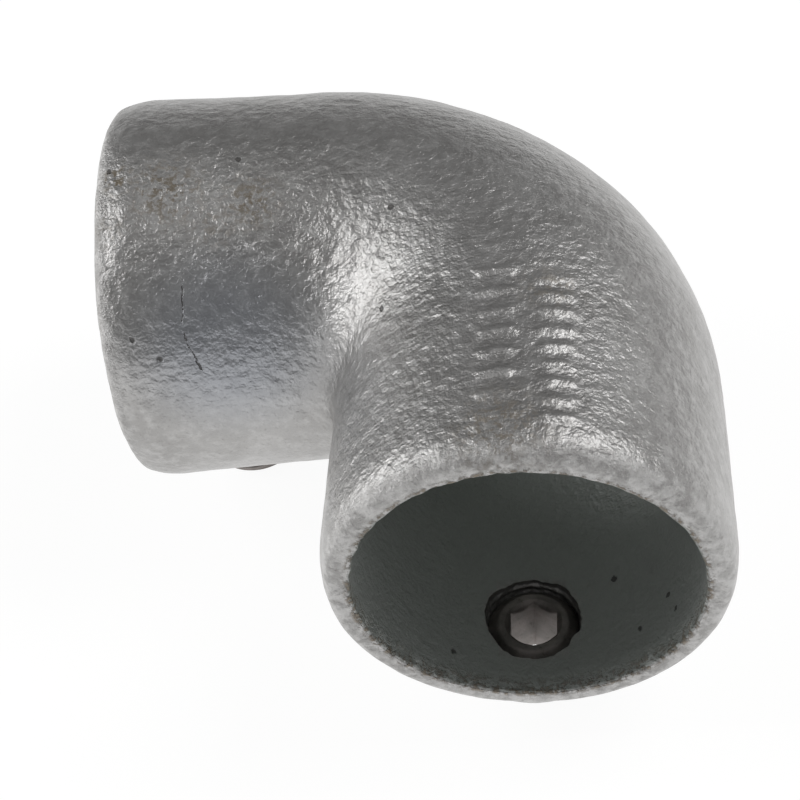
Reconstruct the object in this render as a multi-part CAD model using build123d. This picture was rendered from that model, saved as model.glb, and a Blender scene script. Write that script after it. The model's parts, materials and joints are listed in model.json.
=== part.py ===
from build123d import *
import os

# Two-socket 90 degree elbow for clamping round tube, cast in one piece, with a set screw in
# each socket. Millimetres, +Z up. The origin is the centre of the front socket's mouth: the
# front tube goes in along +Y, the left tube along +X, and both sockets lie level.

# The tube and its sockets
TUBE_DIAMETER = 42.4
SOCKET_CLEARANCE = 0.45     # all round the tube, so that it slides in by hand
FRONT_REACH = 55.9          # crossing of the two socket axes to the front mouth
LEFT_REACH = 54.8           # crossing of the two socket axes to the left mouth
BEND_RADIUS = 29.0          # centre line of the bend

# The casting's walls and lips
BEND_WALL = 3.5
MOUTH_WALL = 4.2
LIP_LENGTH = 5.2            # how far back from the mouth the lip starts to lean in
LIP_RADIUS = 12.0           # sweep of the leaning part
LIP_EDGE_ROUND = 1.0        # the tighter round on to the flat ring of the mouth
MOUTH_CHAMFER = 0.4         # broken inner edge of each mouth

# The set screws, their tapped holes and the pads round them
SCREW_DIAMETER = 12.0
SCREW_LENGTH = 10.0
SCREW_CLEARANCE = 0.05      # radial gap of the plain screw in its plain hole
SCREW_INSET = 11.8          # mouth to screw axis
SCREW_LEAN = 4.0            # degrees from straight down, towards the inside of the bend
LEFT_BACK_OFF = 0.5         # tip of the left screw, outside the socket's wall
FRONT_BACK_OFF = 0.75       # tip of the front screw, outside the socket's wall
TIP_CHAMFER = 1.4
TAIL_CHAMFER = 1.2
KEY_ACROSS_FLATS = 6.1      # hexagon broached right through, for a 6 mm key
KEY_COUNTERSINK = 0.5
PAD_DIAMETER = 20.0
PAD_HEIGHT = 1.4            # pad face above the plain outside of the casting
PAD_FLARE = 1.6             # how much wider the pad is at its foot, each side
PAD_EDGE = 0.6              # bevel round the pad's face

# Worked out from the sizes above
BORE_RADIUS = TUBE_DIAMETER / 2 + SOCKET_CLEARANCE
BEND_OUTER = BORE_RADIUS + BEND_WALL
MOUTH_OUTER = BORE_RADIUS + MOUTH_WALL
SCREW_RADIUS = SCREW_DIAMETER / 2
PAD_FACE = BEND_OUTER + PAD_HEIGHT

# A socket plane has its origin where the socket leaves the bend and points out of the mouth
FRONT_SOCKET = Plane((0, FRONT_REACH - BEND_RADIUS, 0), x_dir=(1, 0, 0), z_dir=(0, -1, 0))
LEFT_SOCKET = Plane((-BEND_RADIUS, FRONT_REACH, 0), x_dir=(0, 1, 0), z_dir=(-1, 0, 0))
FRONT_LENGTH = FRONT_REACH - BEND_RADIUS
LEFT_LENGTH = LEFT_REACH - BEND_RADIUS
PIVOT = Axis((-BEND_RADIUS, FRONT_REACH - BEND_RADIUS, 0), (0, 0, 1))


def turned(profile):
    """A flat profile of (radius, height) points turned round the local Z axis."""
    return revolve(Plane.XZ * profile, Axis.Z, 360)


def bend(radius):
    """A round bar of this radius carried a quarter turn round the pivot, front to left."""
    section = FRONT_SOCKET * Circle(radius)
    return revolve(section, PIVOT, 90)


def socket_outside(length):
    """The outside of one socket: a slight flare from the bend, then the rounded lip."""
    shoulder = length - LIP_LENGTH
    lean = LIP_RADIUS - (LIP_RADIUS ** 2 - LIP_LENGTH ** 2) ** 0.5
    flank = Line((BEND_OUTER, 0), (MOUTH_OUTER, shoulder))
    lip = RadiusArc((MOUTH_OUTER, shoulder), (MOUTH_OUTER - lean, length), -LIP_RADIUS)
    rest = Polyline((MOUTH_OUTER - lean, length), (0, length), (0, 0), (BEND_OUTER, 0))
    profile = make_face(flank + lip + rest)
    rim = profile.vertices().group_by(Axis.Y)[-1].sort_by(Axis.X)[-1]
    return turned(fillet(rim, LIP_EDGE_ROUND))


def socket_bore(length):
    """The room for the tube in one socket, with the broken edge at the mouth."""
    edge = length - MOUTH_CHAMFER
    wide = BORE_RADIUS + MOUTH_CHAMFER
    outline = Polyline(
        (0, 0), (BORE_RADIUS, 0), (BORE_RADIUS, edge), (wide, length), (0, length), (0, 0)
    )
    return turned(make_face(outline))


def screw_plane(socket, length, sideways):
    """The plane of a screw: origin on the socket's axis, Z out through the wall below."""
    down = Vector(0, 0, -1).rotate(Axis((0, 0, 0), socket.z_dir), sideways * SCREW_LEAN)
    foot = socket.origin + socket.z_dir * (length - SCREW_INSET)
    return Plane(foot, x_dir=socket.z_dir, z_dir=down)


FRONT_SCREW = screw_plane(FRONT_SOCKET, FRONT_LENGTH, -1)
LEFT_SCREW = screw_plane(LEFT_SOCKET, LEFT_LENGTH, 1)


def pad():
    """The raised round pad that gives a screw its thread length, flared towards its foot."""
    radius = PAD_DIAMETER / 2
    foot = radius + PAD_FLARE
    outline = Polyline(
        (0, BORE_RADIUS), (foot, BORE_RADIUS), (foot, BEND_OUTER - PAD_FLARE),
        (radius, PAD_FACE - PAD_EDGE), (radius - PAD_EDGE, PAD_FACE), (0, PAD_FACE), (0, BORE_RADIUS),
    )
    return turned(make_face(outline))


def screw_hole():
    """The hole through wall and pad, plain at the thread's outer size."""
    height = PAD_FACE + SCREW_DIAMETER - BORE_RADIUS / 2
    bottom = (0, 0, BORE_RADIUS / 2)
    hole = Cylinder(SCREW_RADIUS + SCREW_CLEARANCE, height, align=(Align.CENTER, Align.CENTER, Align.MIN))
    return Pos(*bottom) * hole


def set_screw(back_off):
    """A headless screw with a chamfered tip and tail and a hexagon broached right through."""
    tip = BORE_RADIUS + back_off
    tail = tip + SCREW_LENGTH
    outline = Polyline(
        (0, tip), (SCREW_RADIUS - TIP_CHAMFER, tip), (SCREW_RADIUS, tip + TIP_CHAMFER),
        (SCREW_RADIUS, tail - TAIL_CHAMFER), (SCREW_RADIUS - TAIL_CHAMFER, tail), (0, tail), (0, tip),
    )
    blank = turned(make_face(outline))
    flats = RegularPolygon(KEY_ACROSS_FLATS / 2, 6, major_radius=False)
    key_way = extrude(Pos(0, 0, tip) * flats, SCREW_LENGTH)
    corner = KEY_ACROSS_FLATS / 3 ** 0.5 + KEY_COUNTERSINK / 2
    mouth = Cone(
        corner, corner - KEY_COUNTERSINK, KEY_COUNTERSINK,
        align=(Align.CENTER, Align.CENTER, Align.MIN),
    )
    tip_mouth = Pos(0, 0, tip) * mouth
    tail_mouth = Pos(0, 0, tail) * Rot(180, 0, 0) * mouth
    return blank - key_way - tip_mouth - tail_mouth


def elbow_casting():
    """The one-piece casting: bend, two sockets and two pads, cored out and drilled."""
    body = bend(BEND_OUTER)
    body += FRONT_SOCKET * socket_outside(FRONT_LENGTH)
    body += LEFT_SOCKET * socket_outside(LEFT_LENGTH)
    body += FRONT_SCREW * pad()
    body += LEFT_SCREW * pad()
    body -= bend(BORE_RADIUS)
    body -= FRONT_SOCKET * socket_bore(FRONT_LENGTH)
    body -= LEFT_SOCKET * socket_bore(LEFT_LENGTH)
    body -= FRONT_SCREW * screw_hole()
    body -= LEFT_SCREW * screw_hole()
    return body


parts = {
    "elbow_casting": elbow_casting(),
    "front_set_screw": FRONT_SCREW * set_screw(FRONT_BACK_OFF),
    "left_set_screw": LEFT_SCREW * set_screw(LEFT_BACK_OFF),
}

os.makedirs("parts", exist_ok=True)
for node, solid in parts.items():
    export_step(solid, f"parts/{node}.step")
    box = solid.bounding_box()
    print(node, "volume", round(solid.volume, 1), "box", box.min, box.max)
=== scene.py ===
"""Looks of a cast elbow fitting for round tube: galvanised casting, two set screws, studio."""
import json
import math

import bpy
import numpy as np
from mathutils import Matrix, Vector


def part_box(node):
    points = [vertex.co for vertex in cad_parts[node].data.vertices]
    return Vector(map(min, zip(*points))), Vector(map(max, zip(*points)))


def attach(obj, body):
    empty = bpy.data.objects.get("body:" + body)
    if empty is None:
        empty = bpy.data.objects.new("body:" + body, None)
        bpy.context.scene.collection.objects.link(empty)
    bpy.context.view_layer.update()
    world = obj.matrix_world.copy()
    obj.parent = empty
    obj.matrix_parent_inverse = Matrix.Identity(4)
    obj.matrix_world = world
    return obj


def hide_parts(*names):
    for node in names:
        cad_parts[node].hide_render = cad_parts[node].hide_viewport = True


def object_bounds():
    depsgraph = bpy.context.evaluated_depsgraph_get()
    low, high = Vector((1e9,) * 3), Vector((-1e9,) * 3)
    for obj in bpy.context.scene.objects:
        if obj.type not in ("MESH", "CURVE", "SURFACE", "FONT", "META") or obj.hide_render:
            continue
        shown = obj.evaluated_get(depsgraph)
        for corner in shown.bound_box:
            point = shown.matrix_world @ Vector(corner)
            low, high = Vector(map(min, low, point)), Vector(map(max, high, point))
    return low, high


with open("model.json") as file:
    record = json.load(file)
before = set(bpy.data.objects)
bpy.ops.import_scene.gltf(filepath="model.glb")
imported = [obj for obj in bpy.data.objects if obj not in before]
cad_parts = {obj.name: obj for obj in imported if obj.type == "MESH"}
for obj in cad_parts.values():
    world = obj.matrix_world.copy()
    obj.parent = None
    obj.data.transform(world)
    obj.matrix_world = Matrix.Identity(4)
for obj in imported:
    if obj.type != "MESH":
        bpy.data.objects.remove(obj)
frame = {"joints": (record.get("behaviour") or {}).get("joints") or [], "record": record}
CAD_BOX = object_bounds()

# ---------------------------------------------------------------- sizes, in millimetres

MM = 0.001
MOUNTS = {mount["name"]: mount for mount in frame["record"]["mounts"]}
JOINTS = {joint["name"]: joint for joint in frame["joints"]}
CASTING_LOW, CASTING_HIGH = (np.array(corner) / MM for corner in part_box("elbow_casting"))

BORE = MOUNTS["front_socket"]["dims"]["r_mm"]
CROSSING_Y = MOUNTS["left_socket"]["pos_m"][1] / MM
LEFT_REACH = -MOUNTS["left_socket"]["pos_m"][0] / MM
MOUTH_OUTER = CASTING_HIGH[0]
BEND_RADIUS = 29.0
BEND_WALL = 3.5
BEND_OUTER = BORE + BEND_WALL
PAD_HEIGHT = 1.4
PAD_FACE = BEND_OUTER + PAD_HEIGHT
PAD_TOP_RADIUS = 9.4
PAD_FOOT_RADIUS = 11.6
PAD_SINK = 0.05             # keeps the pad's face just under the solid's

FRONT_STRAIGHT = CROSSING_Y - BEND_RADIUS
LEFT_STRAIGHT = LEFT_REACH - BEND_RADIUS
QUARTER = BEND_RADIUS * math.pi / 2
RUN = FRONT_STRAIGHT + QUARTER + LEFT_STRAIGHT
PIVOT = np.array([-BEND_RADIUS, CROSSING_Y - BEND_RADIUS])

LIP_LENGTH = 5.2
LIP_RADIUS = 12.0
LIP_EDGE_ROUND = 2.0        # softer than the solid's edge, as zinc leaves it
MOUTH_CHAMFER = 0.4

SCREW_RADIUS = 6.0
SCREW_LENGTH = 10.0
SCREW_PITCH = 1.75
TIP_CHAMFER = 1.4
TAIL_CHAMFER = 1.2
KEY_ACROSS_FLATS = 6.1
KEY_COUNTERSINK = 0.5
HOLE_RADIUS = 6.05


# ---------------------------------------------------------------- repeatable noise

def lattice(ix, iy, iz, seed):
    """A repeatable number from -1 to 1 for every whole-number lattice point."""
    n = ix * 374761393 + iy * 668265263 + iz * 1274126177 + seed * 362437
    n = n & 0x7FFFFFFF
    n = ((n ^ (n >> 13)) * 1274126177) & 0x7FFFFFFF
    n = n ^ (n >> 16)
    return n / 0x3FFFFFFF - 1.0


def ripple(points, size, seed):
    """Smooth noise from -1 to 1: lattice numbers at the corners of cells of this size,
    blended by 3t^2 - 2t^3 along each axis."""
    scaled = points / size
    cell = np.floor(scaled).astype(np.int64)
    t = scaled - cell
    t = t * t * (3 - 2 * t)
    total = np.zeros(len(points))
    for corner in np.ndindex(2, 2, 2):
        weight = np.prod([t[:, k] if corner[k] else 1 - t[:, k] for k in range(3)], axis=0)
        total += weight * lattice(*(cell[:, k] + corner[k] for k in range(3)), seed)
    return total


def smooth_step(x, low, high):
    """0 below low, 1 above high, and 3t^2 - 2t^3 between."""
    t = np.clip((x - low) / (high - low), 0, 1)
    return t * t * (3 - 2 * t)


# ---------------------------------------------------------------- mesh helpers

def grid_faces(rows, columns):
    """Quads of a grid that closes on itself both ways."""
    row, column = np.meshgrid(np.arange(rows), np.arange(columns), indexing="ij")
    next_row, next_column = (row + 1) % rows, (column + 1) % columns
    corners = (
        row * columns + column,
        next_row * columns + column,
        next_row * columns + next_column,
        row * columns + next_column,
    )
    return np.stack(corners, axis=-1).reshape(-1, 4)


def ring_normals(points):
    """Unit normals of a doubly closed grid of points, from the steps to each point's neighbours."""
    along = np.roll(points, -1, axis=0) - np.roll(points, 1, axis=0)
    around = np.roll(points, -1, axis=1) - np.roll(points, 1, axis=1)
    normal = np.cross(along, around)
    return normal / np.linalg.norm(normal, axis=2, keepdims=True)


def make_object(name, points, faces, sharp_angle):
    """A mesh object from points in millimetres, smooth except across edges over the angle."""
    mesh = bpy.data.meshes.new(name)
    mesh.from_pydata((points.reshape(-1, 3) * MM).tolist(), [], faces.tolist())
    mesh.validate()
    finish_shading(mesh, sharp_angle)
    piece = bpy.data.objects.new(name, mesh)
    bpy.context.scene.collection.objects.link(piece)
    return piece


def finish_shading(mesh, sharp_angle):
    """Smooth shading, with edges sharper than the angle in degrees left crisp."""
    mesh.shade_smooth()
    mesh.set_sharp_from_angle(angle=math.radians(sharp_angle))


# ---------------------------------------------------------------- the casting's shape

def carried_frame(run):
    """Centre and outward direction of the section at each distance along the fitting: up the
    front socket's axis, a quarter turn about the pivot, then along the left socket's axis."""
    turn = np.clip((run - FRONT_STRAIGHT) / BEND_RADIUS, 0, math.pi / 2)
    outward = np.stack([np.cos(turn), np.sin(turn)], axis=-1)
    centre = PIVOT + BEND_RADIUS * outward
    centre[:, 1] += np.minimum(run - FRONT_STRAIGHT, 0)
    centre[:, 0] -= np.maximum(run - FRONT_STRAIGHT - QUARTER, 0)
    return centre, outward


def carried_surface(run, radius, turns):
    """Rings of the given radius round the carried centre: centre + radius * (cos v outward +
    sin v up), with radius a column for each ring, or a full grid."""
    centre, outward = carried_frame(run)
    radius = np.broadcast_to(np.reshape(radius, (len(run), -1)), (len(run), len(turns)))
    level = radius * np.cos(turns)
    points = np.empty((len(run), len(turns), 3))
    points[..., :2] = centre[:, None, :] + level[..., None] * outward[:, None, :]
    points[..., 2] = radius * np.sin(turns)
    return points


def skin_radius(from_mouth, straight):
    """Outside radius at a distance from a mouth: the bend's radius, flaring evenly along the
    straight to the shoulder, where the lip begins."""
    share = np.clip((straight - from_mouth) / (straight - LIP_LENGTH), 0, 1)
    return BEND_OUTER + (MOUTH_OUTER - BEND_OUTER) * share


def lip_profile():
    """From the shoulder over the lip to the bore, as (distance from mouth, radius): an arc of
    LIP_RADIUS that leans in, a tight round, the flat ring, and the broken inner edge."""
    lean_end = math.asin((LIP_LENGTH - LIP_EDGE_ROUND) / (LIP_RADIUS - LIP_EDGE_ROUND))
    lean = np.linspace(0, lean_end, 12)
    arc = np.stack([
        LIP_LENGTH - LIP_RADIUS * np.sin(lean),
        MOUTH_OUTER - LIP_RADIUS * (1 - np.cos(lean)),
    ], axis=1)
    round_centre = arc[-1] - LIP_EDGE_ROUND * np.array([-math.sin(lean_end), math.cos(lean_end)])
    tight = np.linspace(lean_end, math.pi / 2, 7)[1:]
    edge = round_centre + LIP_EDGE_ROUND * np.stack([-np.sin(tight), np.cos(tight)], axis=1)
    flat = np.linspace(edge[-1, 1], BORE + MOUTH_CHAMFER, 8)[1:]
    ring = np.stack([np.zeros(7), flat], axis=1)
    inner = np.linspace(0, 1, 5)[1:, None]
    broken = np.array([0, BORE + MOUTH_CHAMFER]) + inner * MOUTH_CHAMFER * np.array([1, -1])
    return np.concatenate([arc, edge, ring, broken])


def casting_outline(skin_rings, bore_rings):
    """The closed outline that is carried round the fitting, as (run, radius): outside from
    front to left, over the left lip, back through the bore, and over the front lip."""
    lip = lip_profile()
    skin_run = np.linspace(LIP_LENGTH, RUN - LIP_LENGTH, skin_rings)[1:-1]
    flare = np.minimum(skin_run, FRONT_STRAIGHT)
    front = skin_radius(flare, FRONT_STRAIGHT)
    left = skin_radius(np.minimum(RUN - skin_run, LEFT_STRAIGHT), LEFT_STRAIGHT)
    skin = np.stack([skin_run, np.maximum(front, left)], axis=1)
    left_lip = np.stack([RUN - lip[:, 0], lip[:, 1]], axis=1)
    bore_run = np.linspace(RUN - MOUTH_CHAMFER, MOUTH_CHAMFER, bore_rings)[1:-1]
    bore = np.stack([bore_run, np.full(len(bore_run), BORE)], axis=1)
    return np.concatenate([skin, left_lip, bore, lip[::-1]])


class Screw:
    """Where a set screw sits: its axis points out through the wall, its tip lies near the bore."""

    def __init__(self, node, joint, mouth):
        self.node = node
        self.axis = -np.array(JOINTS[joint]["axis"])
        self.axis /= np.linalg.norm(self.axis)
        self.side = np.array(MOUNTS[mouth]["axis"], float)
        self.third = np.cross(self.axis, self.side)
        low, high = (np.array(corner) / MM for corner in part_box(node))
        middle = (low + high) / 2
        mouth_centre = np.array(MOUNTS[mouth]["pos_m"]) / MM
        inset = (mouth_centre - middle) @ self.side
        self.foot = mouth_centre - self.side * inset
        self.tip = (middle - self.foot) @ self.axis - SCREW_LENGTH / 2

    def place(self, x, y, height):
        """Points from coordinates across and along the screw's axis."""
        return (
            self.foot
            + x[..., None] * self.side
            + y[..., None] * self.third
            + height[..., None] * self.axis
        )

    def measure(self, points):
        """Distance from the axis, and height along it, of each point."""
        arm = points - self.foot
        height = arm @ self.axis
        return np.linalg.norm(arm - height[:, None] * self.axis, axis=1), height


FRONT_SCREW = Screw("front_set_screw", "front_screw_travel", "front_socket")
LEFT_SCREW = Screw("left_set_screw", "left_screw_travel", "left_socket")


def raise_pads(points, skin):
    """Carries the skin near each screw out along the screw's axis to a flat pad face, and
    eases it back to the casting over the pad's soft edge."""
    for screw in (FRONT_SCREW, LEFT_SCREW):
        away, height = screw.measure(points)
        share = (1 - smooth_step(away, PAD_TOP_RADIUS, PAD_FOOT_RADIUS)) * skin * (height > 0)
        lift = (PAD_FACE - PAD_SINK - height) * share
        points = points + lift[:, None] * screw.axis
    return points


# Two columns of plain cast ribs on top of the front socket: middle x, rib length, first run,
# spacing along the run, and how many
RIB_COLUMNS = [(-1.5, 5.4, 6.4, 3.4, 8), (5.9, 4.8, 5.6, 2.9, 9)]
RIB_HEIGHT = 0.42
RIB_HALF_WIDTH = 0.85


def rib_relief(points):
    """Height of the cast ribs: 1 inside a round-ended bar, falling to 0 over its soft edge."""
    relief = np.zeros(len(points))
    above = points[:, 2] > 0
    for middle, length, first, spacing, count in RIB_COLUMNS:
        reach = length / 2 - RIB_HALF_WIDTH
        beyond = np.maximum(np.abs(points[:, 0] - middle) - reach, 0)
        for run in first + spacing * np.arange(count):
            away = np.hypot(beyond, points[:, 1] - run)
            bar = 1 - smooth_step(away, RIB_HALF_WIDTH * 0.3, RIB_HALF_WIDTH * 1.15)
            relief = np.maximum(relief, bar * above)
    return relief * RIB_HEIGHT * (0.72 + 0.28 * ripple(points, 3.3, 7))


def casting_grain(points, skin):
    """How far the zinc skin stands in or out: slow swells, an orange-peel ripple and fine pits,
    all below the drawn surface."""
    swell = 0.10 * ripple(points, 17.0, 1) + 0.05 * ripple(points, 8.0, 2)
    peel = 0.045 * ripple(points, 2.6, 3) + 0.035 * ripple(points, 1.4, 4)
    pits = 0.12 * smooth_step(ripple(points, 2.1, 5), 0.55, 0.95)
    outside = swell + peel - pits - 0.16
    inside = 0.4 * swell + 0.6 * peel - 0.06
    return outside * skin + inside * (1 - skin)


def casting_mesh():
    """The casting as one closed grid, displaced along its normals by grain and relief."""
    outline = casting_outline(skin_rings=190, bore_rings=44)
    turns = np.linspace(0, 2 * math.pi, 312, endpoint=False)
    points = carried_surface(outline[:, 0], outline[:, 1], turns)
    normals = ring_normals(points)
    rings, columns = points.shape[:2]
    radius = np.repeat(outline[:, 1], columns)
    run = np.repeat(outline[:, 0], columns)
    from_mouth = np.minimum(run, RUN - run)
    skin = (radius > BORE + MOUTH_CHAMFER / 2).astype(float)
    flat = points.reshape(-1, 3)
    ragged = smooth_step(BORE + 0.9 - radius, 0, 0.9) * smooth_step(2.2 - from_mouth, 0, 2.0)
    push = casting_grain(flat, skin) + rib_relief(flat) * skin
    push = push + ragged * 0.16 * (ripple(flat, 1.3, 6) - 0.6)
    flat = flat + normals.reshape(-1, 3) * push[:, None]
    flat = np.clip(raise_pads(flat, skin), CASTING_LOW, CASTING_HIGH)
    rim = (1 - smooth_step(from_mouth, 0.2, 3.0)) * smooth_step(radius, BORE - 0.1, BORE + 0.4)
    edge = (1 - smooth_step(np.abs(radius - BORE - 0.3), 0.3, 0.9)) * (from_mouth < 1.2)
    return flat, grid_faces(rings, columns), {"bore": 1 - skin, "rim": rim, "edge": edge}


# ---------------------------------------------------------------- set screws and their holes

def thread_wave(height, turns, pitch):
    """A V thread of one start: 1 at the crest and 0 at the root, with narrow flats."""
    phase = np.mod(height / pitch - turns / (2 * math.pi), 1.0)
    return np.clip(1.3 * np.abs(2 * phase - 1) - 0.12, 0, 1)


def hexagon_radius(turns, across_flats):
    """Distance from the centre to the wall of a hexagon with corners at whole sixths."""
    within = np.mod(turns, math.pi / 3) - math.pi / 6
    return across_flats / 2 / np.cos(within)


def screw_piece(screw):
    """A headless screw as one closed grid: tip face, chamfer, helical thread, tail chamfer,
    tail face, and the hexagon back through the middle with a countersink at each end."""
    turns = np.linspace(0, 2 * math.pi, 144, endpoint=False)
    key_mouth = KEY_ACROSS_FLATS / math.sqrt(3) + KEY_COUNTERSINK / 2
    hexagon = hexagon_radius(turns, KEY_ACROSS_FLATS)
    rows = []

    def ring(height, radius):
        rows.append((np.full(len(turns), height), np.broadcast_to(radius, len(turns))))

    for radius in np.linspace(key_mouth, SCREW_RADIUS - TIP_CHAMFER - 0.15, 5):
        ring(0.0, radius)
    for height in np.linspace(0.06, TIP_CHAMFER, 6)[:-1]:
        ring(height, SCREW_RADIUS - TIP_CHAMFER + height)
    top, bottom = TIP_CHAMFER, SCREW_LENGTH - TAIL_CHAMFER
    for height in np.linspace(top, bottom, 76):
        run_out = smooth_step(height, top, top + 0.8) * smooth_step(bottom - height, 0, 0.8)
        cut = 0.95 * (1 - thread_wave(height, turns, SCREW_PITCH)) * run_out
        ring(height, SCREW_RADIUS - cut)
    for height in np.linspace(bottom, SCREW_LENGTH - 0.06, 5)[1:]:
        ring(height, SCREW_RADIUS - (height - bottom))
    for radius in np.linspace(SCREW_RADIUS - TAIL_CHAMFER - 0.15, key_mouth, 5):
        ring(SCREW_LENGTH, radius)
    sink = KEY_COUNTERSINK
    for share in np.linspace(0, 1, 4)[1:]:
        ring(SCREW_LENGTH - sink * share, np.maximum(hexagon, key_mouth - sink * share))
    for height in np.linspace(SCREW_LENGTH - sink, sink, 24)[1:-1]:
        ring(height, hexagon)
    for share in np.linspace(1, 0, 4)[:-1]:
        ring(sink * share, np.maximum(hexagon, key_mouth - sink * share))

    heights = np.array([row[0] for row in rows])
    radii = np.array([row[1] for row in rows])
    points = screw.place(
        radii * np.cos(turns), radii * np.sin(turns), screw.tip + heights
    )
    name = screw.node + "_threaded"
    return make_object(name, points, grid_faces(*heights.shape), sharp_angle=38)


def tapping_tool(screw, opening_seed):
    """The closed rod that cuts a tapped hole: a helical thread through the wall, a torn,
    wider opening at the bore, and flat ends."""
    turns = np.linspace(0, 2 * math.pi, 120, endpoint=False)
    heights = np.linspace(BORE - 5.0, PAD_FACE + 4.0, 74)
    high, turn = np.meshgrid(heights, turns, indexing="ij")
    groove = 0.5 * thread_wave(high, turn, SCREW_PITCH)
    around = np.stack([np.cos(turns), np.sin(turns), np.zeros(len(turns))], axis=1)
    torn = 0.28 + 0.30 * ripple(around * 6, 1.7, opening_seed) + 0.14 * ripple(around * 6, 0.6, 8)
    near_bore = 1 - smooth_step(high, BORE + 0.1, BORE + 1.3)
    radius = HOLE_RADIUS + groove * (1 - near_bore) + near_bore * torn
    points = screw.place(radius * np.cos(turn), radius * np.sin(turn), high)
    rows, columns = radius.shape
    faces = [list(face) for face in grid_faces(rows, columns)[: (rows - 1) * columns]]
    faces.append(list(range(columns)))
    faces.append(list(range((rows - 1) * columns, rows * columns))[::-1])
    mesh = bpy.data.meshes.new("tapping_tool")
    mesh.from_pydata((points.reshape(-1, 3) * MM).tolist(), [], faces)
    tool = bpy.data.objects.new("tapping_tool", mesh)
    bpy.context.scene.collection.objects.link(tool)
    return tool


def outward(piece):
    """Turns a closed piece's faces outward if its signed volume is negative."""
    mesh = piece.data
    mesh.calc_loop_triangles()
    index = np.empty(len(mesh.loop_triangles) * 3, np.int32)
    mesh.loop_triangles.foreach_get("vertices", index)
    place = np.empty(len(mesh.vertices) * 3)
    mesh.vertices.foreach_get("co", place)
    a, b, c = place.reshape(-1, 3)[index.reshape(-1, 3)].transpose(1, 0, 2)
    if np.einsum("ij,ij->i", a, np.cross(b, c)).sum() < 0:
        mesh.flip_normals()
    return piece


def cut(piece, tools):
    """Takes each tool's shape out of the piece and removes the tools."""
    for tool in tools:
        outward(tool)
        bite = piece.modifiers.new("bite", "BOOLEAN")
        bite.operation = "DIFFERENCE"
        bite.solver = "EXACT"
        bite.object = tool
    graph = bpy.context.evaluated_depsgraph_get()
    whole = bpy.data.meshes.new_from_object(piece.evaluated_get(graph))
    piece.modifiers.clear()
    piece.data = whole
    for tool in tools:
        bpy.data.objects.remove(tool)
    return piece


def casting_piece():
    """The casting with its masks for the finish, and the two tapped holes cut through."""
    points, faces, masks = casting_mesh()
    piece = make_object("elbow_casting_galvanised", points, faces, sharp_angle=180)
    for name, values in masks.items():
        layer = piece.data.attributes.new(name, "FLOAT", "POINT")
        layer.data.foreach_set("value", values.astype(np.float32))
    outward(piece)
    cut(piece, [tapping_tool(FRONT_SCREW, 11), tapping_tool(LEFT_SCREW, 12)])
    finish_shading(piece.data, 55)
    return piece


# ---------------------------------------------------------------- material language

class Signal:
    """One output socket, with arithmetic that adds Math nodes."""

    def __init__(self, finish, socket):
        self.finish = finish
        self.socket = socket

    def math(self, operation, *others, clamp=False):
        settings = {"operation": operation, "use_clamp": clamp}
        return self.finish.node("ShaderNodeMath", settings, dict(enumerate([self, *others])))

    def __add__(self, other):
        return self.math("ADD", other)

    def __sub__(self, other):
        return self.math("SUBTRACT", other)

    def __mul__(self, other):
        return self.math("MULTIPLY", other)

    def __rsub__(self, other):
        return self.finish.node("ShaderNodeMath", {"operation": "SUBTRACT"}, {0: other, 1: self})

    __radd__ = __add__
    __rmul__ = __mul__

    def ramp(self, low, high):
        """0 below low and 1 above high, eased between."""
        settings = {"interpolation_type": "SMOOTHSTEP"}
        inputs = {"Value": self, "From Min": low, "From Max": high}
        return self.finish.node("ShaderNodeMapRange", settings, inputs)

    def most(self, other):
        return self.math("MAXIMUM", other)


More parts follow.
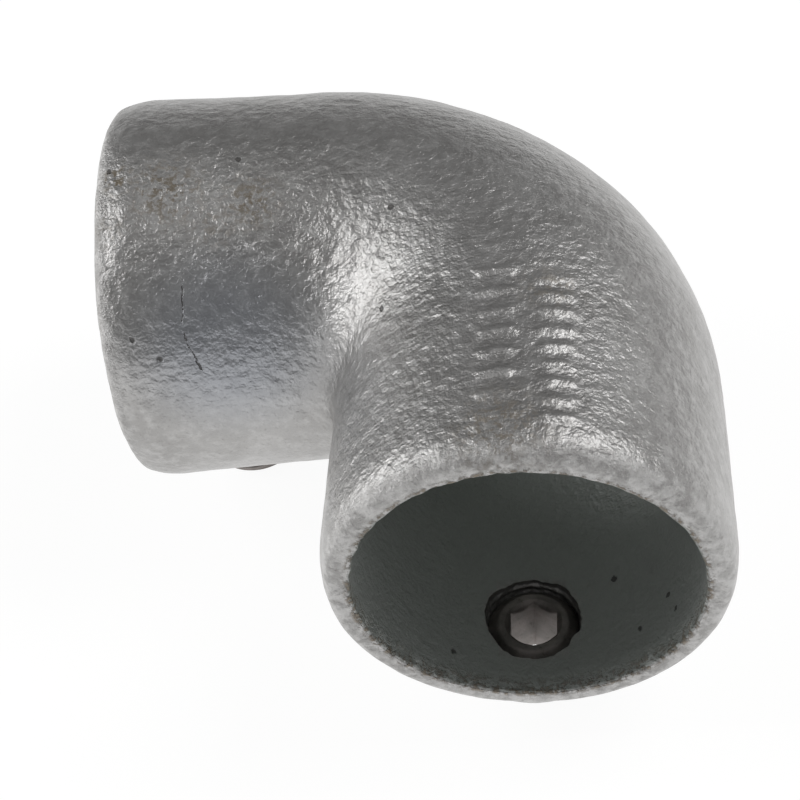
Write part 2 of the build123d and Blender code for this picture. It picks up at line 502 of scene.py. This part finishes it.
class Finish:
    """A material under construction."""

    def __init__(self, name):
        self.material = bpy.data.materials.new(name)
        self.material.use_nodes = True
        self.tree = self.material.node_tree
        self.tree.nodes.clear()

    def node(self, kind, settings=None, inputs=None, output=0):
        """Adds a node: its settings first, then the values or links of its sockets."""
        node = self.tree.nodes.new(kind)
        for name, value in (settings or {}).items():
            setattr(node, name, value)
        for key, value in (inputs or {}).items():
            if isinstance(value, Signal):
                self.tree.links.new(value.socket, node.inputs[key])
            else:
                node.inputs[key].default_value = value
        return Signal(self, node.outputs[output]) if node.outputs else None

    def place(self):
        return self.node("ShaderNodeTexCoord", output="Object")

    def noise(self, place, size, detail=2.0, roughness=0.5, output=0):
        """Noise whose grains are about this many millimetres across."""
        inputs = {
            "Vector": place, "Scale": 1 / (size * MM), "Detail": detail, "Roughness": roughness,
        }
        return self.node("ShaderNodeTexNoise", None, inputs, output)

    def cells(self, place, size, feature="F1", output="Distance", randomness=1.0):
        """Voronoi cells about this many millimetres across."""
        inputs = {"Vector": place, "Scale": 1 / (size * MM), "Randomness": randomness}
        return self.node("ShaderNodeTexVoronoi", {"feature": feature}, inputs, output)

    def blend(self, share, first, second):
        """Mixes two colours by a share from 0 to 1."""
        settings = {"data_type": "RGBA"}
        inputs = {0: share, 6: first, 7: second}
        return self.node("ShaderNodeMix", settings, inputs, output=2)

    def blot(self, place, centre, size):
        """1 at a centre given in millimetres, falling to 0 at the size, as a round patch."""
        arm = self.node(
            "ShaderNodeVectorMath", {"operation": "DISTANCE"},
            {0: place, 1: tuple(c * MM for c in centre)}, output="Value",
        )
        return 1 - arm.ramp(size[0] * MM, size[1] * MM)

    def seam(self, place, start, end, width):
        """1 on the straight line between two points in millimetres, 0 past the width from it."""
        start, end = Vector(start) * MM, Vector(end) * MM
        reach = end - start

        def vector(operation, first, second, output=0):
            inputs = {0: first, 1: second}
            return self.node("ShaderNodeVectorMath", {"operation": operation}, inputs, output)

        arm = vector("SUBTRACT", place, tuple(start))
        share = vector("DOT_PRODUCT", arm, tuple(reach / reach.length_squared), "Value")
        share = share.math("ADD", 0.0, clamp=True)
        along = self.node(
            "ShaderNodeVectorMath", {"operation": "SCALE"}, {0: tuple(reach), "Scale": share}
        )
        away = vector("DISTANCE", arm, along, "Value")
        return 1 - away.ramp(width * MM * 0.4, width * MM)

    def mask(self, name):
        return self.node("ShaderNodeAttribute", {"attribute_name": name}, output="Fac")

    def bumps(self, height, distance, under=None):
        """A bump of this height signal, where 1 stands this many millimetres proud."""
        inputs = {"Height": height, "Distance": distance * MM, "Strength": 1.0}
        if under is not None:
            inputs["Normal"] = under
        return self.node("ShaderNodeBump", None, inputs)

    def surface(self, **inputs):
        """Ends the material in a Principled surface; names use _ for spaces."""
        named = {key.replace("_", " "): value for key, value in inputs.items()}
        shader = self.node("ShaderNodeBsdfPrincipled", None, named)
        self.node("ShaderNodeOutputMaterial", None, {"Surface": shader})
        return self.material


def grey(value, warm=0.0):
    """A grey of this linear value, a little warm or, below 0, a little blue."""
    return (value * (1 + warm), value, value * (1 - warm), 1.0)


# ---------------------------------------------------------------- finishes

STAINS = [
    ((-44.8, 49.1, 24.8), (1.0, 8.0), 0.9),
    ((-33.7, 47.1, 23.7), (0.5, 6.0), 0.9),
    ((-38.5, 44.0, 22.8), (0.5, 5.0), 0.5),
    ((-52.5, 45.0, 23.5), (0.5, 5.0), 0.4),
    ((-51.5, 51.4, 25.3), (0.4, 4.0), 1.0),
    ((-1.0, 4.5, 26.0), (1.0, 9.0), 0.7),
    ((5.0, 27.0, 24.0), (1.0, 6.0), 0.5),
]
DARK_SPOTS = [(-50.0, 33.8, 13.1), (-46.8, 32.5, 10.5), (-11.5, 5.0, -18.3), (12.5, 6.5, -17.6)]
BLUE_ZONE = (-38.0, 32.0, 12.0)
WANDER = 0.9                # how far noise bends the outlines of pits and the crack
CRACK = [(-42.7, 38.5, 18.8), (-43.4, 34.3, 13.9), (-41.5, 31.7, 8.3)]


def galvanised():
    """Hot-dip zinc over cast iron: mottled mid grey with orange-peel grain and small glints,
    darker and greener in the bore, stained and cracked. The rims are rougher and carry paler
    mottled specks, partly rough zinc and partly a painted reflection of the bright floor."""
    f = Finish("galvanised_casting")
    place = f.place()
    bore = f.mask("bore")
    rim = f.mask("rim")
    edge = f.mask("edge")
    cloud = f.noise(place, 14, 3, 0.6)
    mottle = f.noise(place, 1.7, 4, 0.65)
    speck = f.noise(place, 0.6, 2, 0.6)
    crust = f.noise(place, 0.9, 4, 0.7)
    colour = f.blend(cloud.ramp(0.35, 0.65), grey(0.33, 0.02), grey(0.41, 0.015))
    colour = f.blend(mottle.ramp(0.42, 0.72) * 0.5, colour, grey(0.56, 0.01))
    colour = f.blend(speck.ramp(0.58, 0.78) * 0.45, colour, grey(0.20, 0.05))
    colour = f.blend(f.blot(place, BLUE_ZONE, (4, 17)) * 0.45, colour, (0.31, 0.34, 0.40, 1))
    dirt = crust.ramp(0.46, 0.60)
    stain = None
    for centre, size, depth in STAINS:
        patch = f.blot(place, centre, size) * depth
        stain = patch if stain is None else stain.most(patch)
    stain = stain * dirt
    colour = f.blend(stain, colour, (0.15, 0.125, 0.09, 1))
    colour = f.blend(bore * 0.9, colour, (0.355, 0.375, 0.358, 1))
    crumbs = edge * crust.ramp(0.46, 0.60)
    # Paler mottled specks on the rims: partly rough zinc, partly a painted reflection of the bright
    # floor on the ring faces
    colour = f.blend(rim * mottle.ramp(0.40, 0.60) * 0.45, colour, grey(0.64, 0.01))
    colour = f.blend(crumbs * 0.8, colour, (0.22, 0.18, 0.13, 1))

    wander = f.node(
        "ShaderNodeVectorMath", {"operation": "SCALE"},
        {0: f.noise(place, 1.1, 2, 0.6, output=1), "Scale": WANDER * MM},
    )
    bent = f.node("ShaderNodeVectorMath", {"operation": "ADD"}, {0: place, 1: wander})
    pits = 1 - f.cells(bent, 8.0).ramp(0.040, 0.060)
    for spot in DARK_SPOTS:
        pits = pits.most(f.blot(bent, [c + WANDER / 2 for c in spot], (0.22, 0.55)))
    shifted = [[c + WANDER / 2 for c in point] for point in CRACK]
    upper_line = f.seam(bent, shifted[0], shifted[1], 0.15)
    line = upper_line.most(f.seam(bent, shifted[1], shifted[2], 0.20))
    line = line * f.noise(place, 0.8, 2).ramp(0.34, 0.46)
    hole = pits.most(line)
    colour = f.blend(hole * 0.85, colour, grey(0.03, 0.1))

    rough = 0.27 + 0.14 * mottle + 0.10 * speck + 0.10 * rim + 0.2 * stain + 0.08 * bore
    metal = 0.88 - 0.45 * stain - 0.5 * bore - 0.12 * rim - 0.7 * hole
    peel = f.noise(place, 1.3, 2, 0.5)
    fine = f.noise(place, 0.45, 3, 0.6)
    normal = f.bumps(peel, 0.30)
    normal = f.bumps(fine + 1.5 * crumbs + 2.5 * (rim * crust) - 2.0 * hole, 0.13, under=normal)
    return f.surface(Base_Color=colour, Roughness=rough, Metallic=metal, Normal=normal)


def hardened_steel():
    """Dark hardened steel of the set screws, faintly brown, with grime and a fine grain."""
    f = Finish("set_screw_steel")
    place = f.place()
    film = f.noise(place, 3.0, 4, 0.6)
    colour = f.blend(film.ramp(0.35, 0.7), (0.20, 0.185, 0.175, 1), (0.33, 0.30, 0.285, 1))
    grime = f.noise(place, 0.9, 4, 0.7).ramp(0.55, 0.75)
    colour = f.blend(grime * 0.6, colour, (0.07, 0.06, 0.05, 1))
    rough = 0.42 + 0.25 * film
    normal = f.bumps(f.noise(place, 0.4, 3, 0.6), 0.04)
    return f.surface(Base_Color=colour, Roughness=rough, Metallic=0.85, Normal=normal)


def dress(piece, material, slot, body, *nodes):
    """Gives a piece its finish, its body and the CAD nodes it stands for."""
    piece.data.materials.clear()
    piece.data.materials.append(material)
    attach(piece, body)
    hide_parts(*nodes)
    return piece


# ---------------------------------------------------------------- studio

def pale_floor(level):
    """A white sheet on which the fitting stands. It glows, so that it lights the underside,
    and looks nearly white to the camera with only a soft shadow left."""
    reach = 3.0
    mesh = bpy.data.meshes.new("studio_floor")
    signs = [(-1, -1), (1, -1), (1, 1), (-1, 1)]
    corners = [(reach * x, reach * y, level) for x, y in signs]
    mesh.from_pydata(corners, [], [(0, 1, 2, 3)])
    floor = bpy.data.objects.new("studio_floor", mesh)
    bpy.context.scene.collection.objects.link(floor)
    f = Finish("white_sheet")
    seen = f.node("ShaderNodeLightPath", output="Is Camera Ray")
    paper = f.node("ShaderNodeBsdfDiffuse", None, {"Color": (0.82, 0.82, 0.81, 1)})
    glow = f.node("ShaderNodeEmission", None, {"Color": (1, 1, 1, 1), "Strength": 1.35 - 0.29 * seen})
    both = f.node("ShaderNodeMixShader", None, {0: 0.70 + 0.18 * seen, 1: paper, 2: glow})
    f.node("ShaderNodeOutputMaterial", None, {"Surface": both})
    mesh.materials.append(f.material)


def studio_world(strength):
    """An even pale surround that the camera sees as white."""
    world = bpy.data.worlds.new("studio")
    bpy.context.scene.world = world
    world.use_nodes = True
    tree = world.node_tree
    background = tree.nodes["Background"]
    background.inputs["Color"].default_value = (1, 1, 1, 1)
    path = tree.nodes.new("ShaderNodeLightPath")
    mix = tree.nodes.new("ShaderNodeMapRange")
    mix.inputs["To Min"].default_value = strength
    mix.inputs["To Max"].default_value = 1.0
    tree.links.new(path.outputs["Is Camera Ray"], mix.inputs["Value"])
    tree.links.new(mix.outputs[0], background.inputs["Strength"])


def soft_box(name, place, target, width, height, power):
    """A rectangular soft light of this width and height, aimed at a point."""
    data = bpy.data.lights.new(name, "AREA")
    data.shape = "RECTANGLE"
    data.size = width
    data.size_y = height
    data.energy = power
    lamp = bpy.data.objects.new(name, data)
    aim = Vector(target) - Vector(place)
    lamp.matrix_world = Matrix.Translation(place) @ aim.to_track_quat("-Z", "Y").to_matrix().to_4x4()
    bpy.context.scene.collection.objects.link(lamp)


def camera(target, azimuth, elevation, roll, distance, lens):
    """A long lens aimed at the target. Azimuth 0 looks along +Y; roll turns the picture."""
    turn = Matrix.Rotation(math.radians(-azimuth), 3, "Z")
    tip = Matrix.Rotation(math.radians(90 - elevation), 3, "X")
    lean = Matrix.Rotation(math.radians(roll), 3, "Z")
    pose = turn @ tip @ lean
    data = bpy.data.cameras.new("camera")
    data.lens = lens
    data.clip_start = 0.01
    body = bpy.data.objects.new("camera", data)
    eye = Vector(target) * MM + pose @ Vector((0, 0, distance * MM))
    body.matrix_world = Matrix.Translation(eye) @ pose.to_4x4()
    bpy.context.scene.collection.objects.link(body)
    bpy.context.scene.camera = body


# ---------------------------------------------------------------- the scene

steel = hardened_steel()
dress(casting_piece(), galvanised(), "galvanised_casting", "fitting", "elbow_casting")
dress(screw_piece(FRONT_SCREW), steel, "set_screw_steel", "front_screw", "front_set_screw")
dress(screw_piece(LEFT_SCREW), steel, "set_screw_steel", "left_screw", "left_set_screw")

pale_floor(CAD_BOX[0][2])
studio_world(0.19)
middle = (-0.015, 0.04, 0.0)
soft_box("left_light", (-0.78, 0.10, 0.42), middle, 0.35, 0.85, 4.7)
soft_box("right_light", (0.55, 0.16, 0.72), middle, 0.40, 0.55, 4.2)
camera(
    target=(-18.63, 41.23, -9.98), azimuth=-10.77, elevation=47.66, roll=-11.64,
    distance=355.16, lens=117.65,
)
bpy.context.scene.view_settings.view_transform = "Standard"
